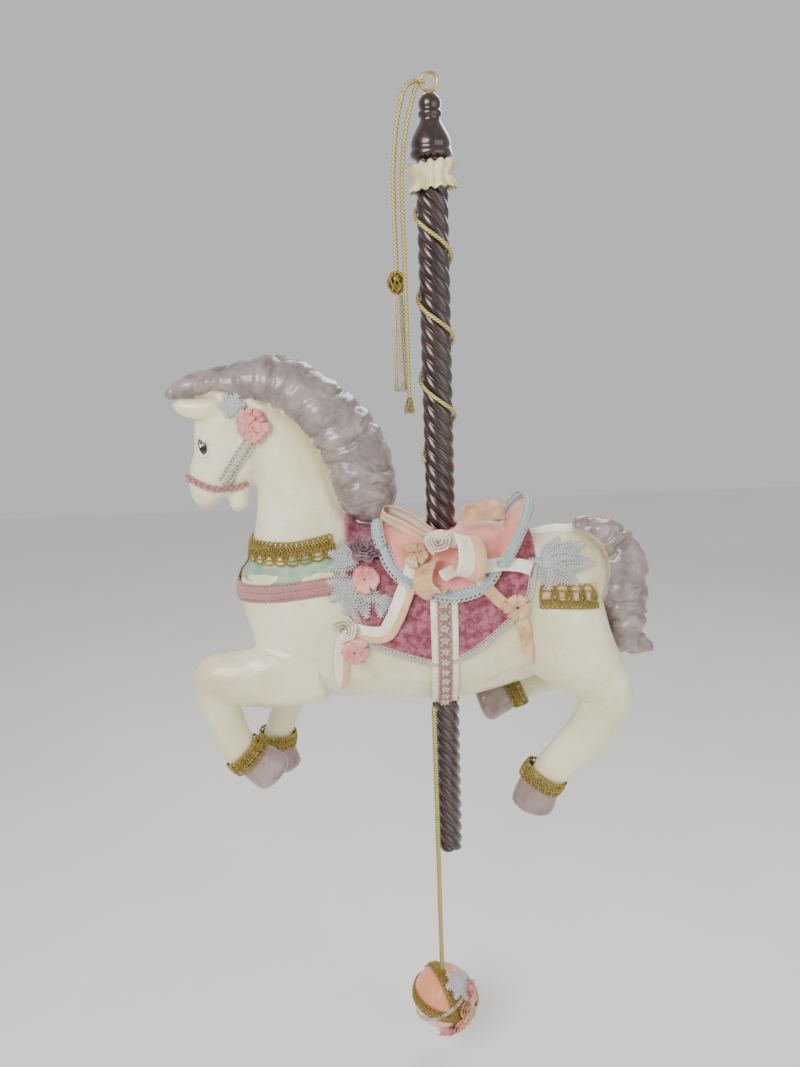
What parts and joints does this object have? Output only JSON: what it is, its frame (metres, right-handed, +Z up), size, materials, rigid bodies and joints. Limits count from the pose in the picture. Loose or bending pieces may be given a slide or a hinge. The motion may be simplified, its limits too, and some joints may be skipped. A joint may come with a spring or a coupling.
{
  "type": "carousel horse",
  "caption": "Decorated papier-mache carousel horse on a rope-twist wooden pole with a hanging ring, dressed with saddle, ribbons, lace, cords and a hanging ball.",
  "frame": {"origin": "where a hook bears on the inside top of the hanging ring, on the axis of the pole", "axes": "+Z up along the pole; the horse faces -X and its dressed left side faces -Y"},
  "size_m": [0.5273, 0.1457, 1.1034],
  "materials": {
    "papier_mache": "painted and varnished papier-mache, glossy, with shaded hooves, mane and tail",
    "dark_wood": "turned and carved wood, dark stain, glossy varnish",
    "brass": "polished wire",
    "cream_satin": "cream satin ribbon, soft sheen",
    "peach_satin": "peach satin ribbon, soft sheen",
    "coral_cloth": "coral pink padded cloth with a soft sheen",
    "rose_plush": "crushed velvet, dusty rose",
    "green_satin": "seafoam green satin",
    "pink_braid": "woven gimp braid, dusty pink",
    "gold_braid": "metallic gold thread lace and braid",
    "white_lace": "white crochet cotton, matt",
    "mauve_ribbon": "ruched ribbon, dusky mauve",
    "gold_cord": "twisted metallic cord",
    "tassel_silk": "cream and gold silk fringe"
  },
  "bodies": {
    "root": {"horse": "papier_mache", "pole": "dark_wood", "hanging_ring": "brass", "pole_ruffle": "cream_satin", "girth": "cream_satin", "bow_large_loop": "cream_satin", "left_streamer": "cream_satin", "right_fold": "cream_satin", "bow_rose": "cream_satin", "blanket_rose": "cream_satin", "cheek_braid": "cream_satin", "bow_flower": "peach_satin", "bow_left_loop": "peach_satin", "bow_lower_loop": "peach_satin", "bow_back": "peach_satin", "right_streamer": "peach_satin", "ribbon_knot": "peach_satin", "ribbon_tail": "peach_satin", "pendant_flowers": "peach_satin", "saddle": "coral_cloth", "pendant_ball": "coral_cloth", "coral_flower": "coral_cloth", "blanket_flower": "coral_cloth", "coral_rosette": "coral_cloth", "saddle_blanket": "rose_plush", "breast_band": "green_satin", "pink_braid": "pink_braid", "noseband": "pink_braid", "gold_braid": "gold_braid", "rump_band": "gold_braid", "left_fore_hoof_lace": "gold_braid", "right_fore_hoof_lace": "gold_braid", "left_hind_hoof_lace": "gold_braid", "right_hind_hoof_lace": "gold_braid", "tassel_knot": "gold_braid", "rump_lace": "white_lace", "shoulder_lace": "white_lace", "white_rosette": "white_lace", "pendant_lace": "white_lace", "mauve_flower": "mauve_ribbon", "pole_cord": "gold_cord", "pendant_cord": "gold_cord", "cord_tie": "gold_cord", "tassel_cord": "gold_cord", "frayed_cord": "gold_cord", "frayed_end": "gold_cord", "tassel": "tassel_silk"}
  },
  "joints": []
}
